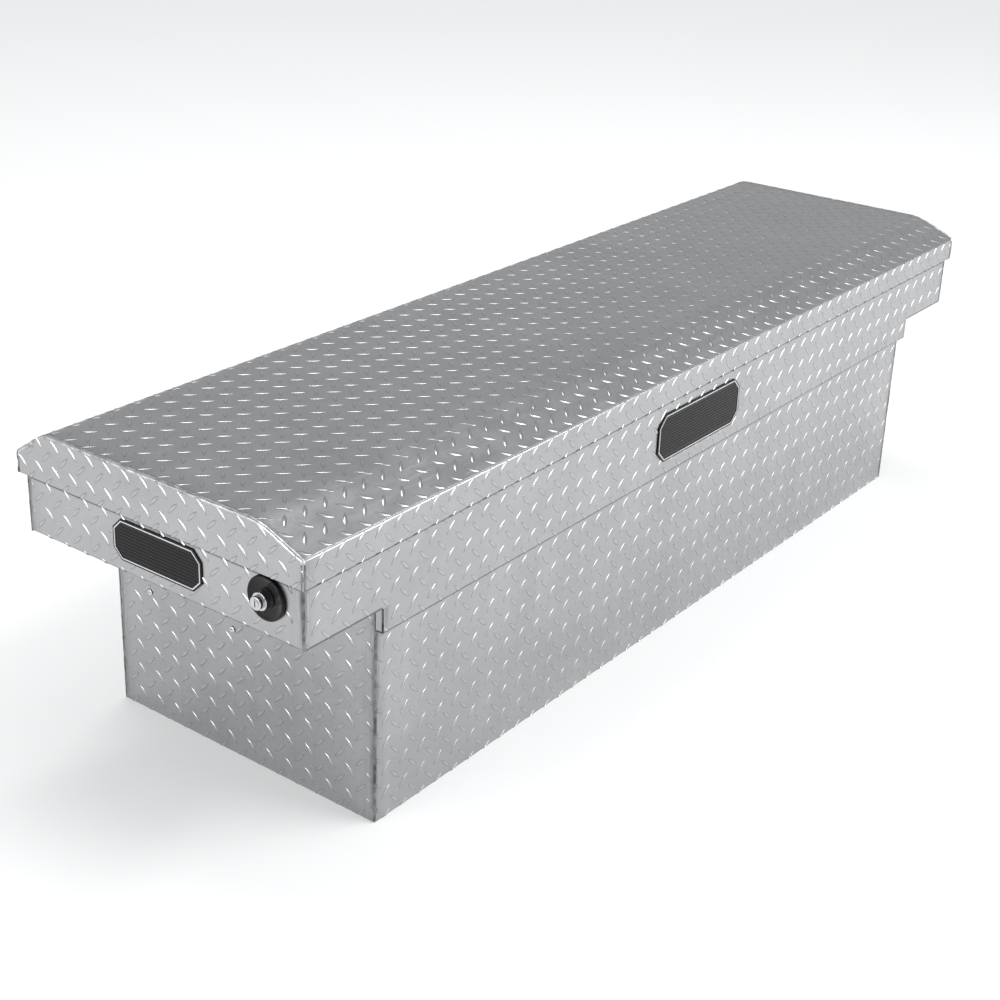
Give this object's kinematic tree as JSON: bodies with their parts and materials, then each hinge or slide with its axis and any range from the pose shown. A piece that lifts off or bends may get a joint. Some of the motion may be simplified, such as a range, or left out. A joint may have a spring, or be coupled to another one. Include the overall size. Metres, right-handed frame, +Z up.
{
  "type": "truck tool box",
  "caption": "Crossover tool box that spans a pickup bed: a deep tub hung from two saddle ends, with one hinged lid on gas struts and a push-button latch at each end.",
  "frame": {"origin": "bottom centre of the whole box: the underside of the tub floor, midway along and across the overall size", "axes": "+X along the box towards its right end, -Y towards the front, where the lid opens, +Z up"},
  "size_m": [1.8382, 0.5202, 0.484],
  "materials": {
    "tread_plate": "bright rolled tread plate",
    "plain_aluminium": "mill finish",
    "rivet_metal": "satin",
    "seal_rubber": "matt",
    "badge_face": "gloss print",
    "black_plastic": "gloss",
    "lock_chrome": "polished",
    "zinc_steel": "zinc plated",
    "black_paint": "semi-gloss",
    "rod_steel": "polished"
  },
  "bodies": {
    "tub": {"front_wall": "tread_plate", "front_band": "tread_plate", "back_panel": "tread_plate", "floor_panel": "tread_plate", "step_gussets": "tread_plate", "end_rivets": "rivet_metal", "rim_seal": "seal_rubber", "hinge_body_leaf": "plain_aluminium", "hinge_pin": "plain_aluminium", "hinge_body_rivets": "rivet_metal", "front_badge": "badge_face", "left_tub_end": "tread_plate", "right_tub_end": "tread_plate", "left_saddle": "tread_plate", "right_saddle": "tread_plate", "left_strut_foot_bracket": "zinc_steel", "right_strut_foot_bracket": "zinc_steel", "left_lock_dish": "black_plastic", "right_lock_dish": "black_plastic", "left_lock_sleeve": "lock_chrome", "right_lock_sleeve": "lock_chrome", "left_lock_nut": "zinc_steel", "right_lock_nut": "zinc_steel", "left_latch_bracket": "zinc_steel", "right_latch_bracket": "zinc_steel", "left_latch_pin": "zinc_steel", "right_latch_pin": "zinc_steel", "left_end_badge": "badge_face", "right_end_badge": "badge_face"},
    "lid": {"lid_skin": "tread_plate", "lid_front_channel": "plain_aluminium", "lid_rear_channel": "plain_aluminium", "hinge_lid_leaf": "plain_aluminium", "hinge_lid_rivets": "rivet_metal", "left_lid_cap": "tread_plate", "right_lid_cap": "tread_plate", "left_strut_lid_bracket": "zinc_steel", "right_strut_lid_bracket": "zinc_steel", "left_striker": "zinc_steel", "right_striker": "zinc_steel"},
    "left_cylinder": {"left_strut_cylinder": "black_paint"},
    "left_rod": {"left_strut_rod": "rod_steel"},
    "left_button": {"left_lock_button": "lock_chrome"},
    "left_key": {"left_key_plug": "lock_chrome"},
    "left_hook": {"left_latch_hook": "zinc_steel"},
    "right_cylinder": {"right_strut_cylinder": "black_paint"},
    "right_rod": {"right_strut_rod": "rod_steel"},
    "right_button": {"right_lock_button": "lock_chrome"},
    "right_key": {"right_key_plug": "lock_chrome"},
    "right_hook": {"right_latch_hook": "zinc_steel"}
  },
  "joints": [
    {"name": "lid_hinge", "type": "hinge", "parent": "tub", "child": "lid", "pos_m": [0, 0.2534, 0.41], "axis": [-1, 0, 0], "range_deg": [0, 65]},
    {"name": "left_strut_pivot", "type": "hinge", "parent": "tub", "child": "left_cylinder", "pos_m": [-0.736, 0.13, 0.225], "axis": [-1, 0, 0], "range_deg": [0, 15.3]},
    {"name": "left_strut_slide", "type": "slide", "parent": "left_cylinder", "child": "left_rod", "axis": [0, 0.0926, 0.9957], "range_m": [0, 0.095]},
    {"name": "left_button_press", "type": "slide", "parent": "tub", "child": "left_button", "axis": [1, 0, 0], "range_m": [0, 0.007], "stiffness_N_per_m": 300, "springref_m": -0.003},
    {"name": "left_key_turn", "type": "hinge", "parent": "left_button", "child": "left_key", "pos_m": [-0.9185, -0.1941, 0.381], "axis": [-1, 0, 0], "range_deg": [0, 90]},
    {"name": "left_hook_swing", "type": "hinge", "parent": "tub", "child": "left_hook", "pos_m": [-0.866, -0.1941, 0.405], "axis": [0, -1, 0], "range_deg": [0, 20.5]},
    {"name": "right_strut_pivot", "type": "hinge", "parent": "tub", "child": "right_cylinder", "pos_m": [0.736, 0.13, 0.225], "axis": [-1, 0, 0], "range_deg": [0, 15.3]},
    {"name": "right_strut_slide", "type": "slide", "parent": "right_cylinder", "child": "right_rod", "axis": [0, 0.0926, 0.9957], "range_m": [0, 0.095]},
    {"name": "right_button_press", "type": "slide", "parent": "tub", "child": "right_button", "axis": [-1, 0, 0], "range_m": [0, 0.007], "stiffness_N_per_m": 300, "springref_m": -0.003},
    {"name": "right_key_turn", "type": "hinge", "parent": "right_button", "child": "right_key", "pos_m": [0.9185, -0.1941, 0.381], "axis": [1, 0, 0], "range_deg": [0, 90]},
    {"name": "right_hook_swing", "type": "hinge", "parent": "tub", "child": "right_hook", "pos_m": [0.866, -0.1941, 0.405], "axis": [0, 1, 0], "range_deg": [0, 20.5]}
  ],
  "couplings": [
    {"joint": "left_strut_pivot", "follows": "lid_hinge", "ratio": 0.22815},
    {"joint": "left_strut_slide", "follows": "lid_hinge", "m_per_rad": 0.083254},
    {"joint": "left_hook_swing", "follows": "left_button_press", "rad_per_m": 49.867},
    {"joint": "right_strut_pivot", "follows": "lid_hinge", "ratio": 0.22815},
    {"joint": "right_strut_slide", "follows": "lid_hinge", "m_per_rad": 0.083254},
    {"joint": "right_hook_swing", "follows": "right_button_press", "rad_per_m": 49.867}
  ]
}
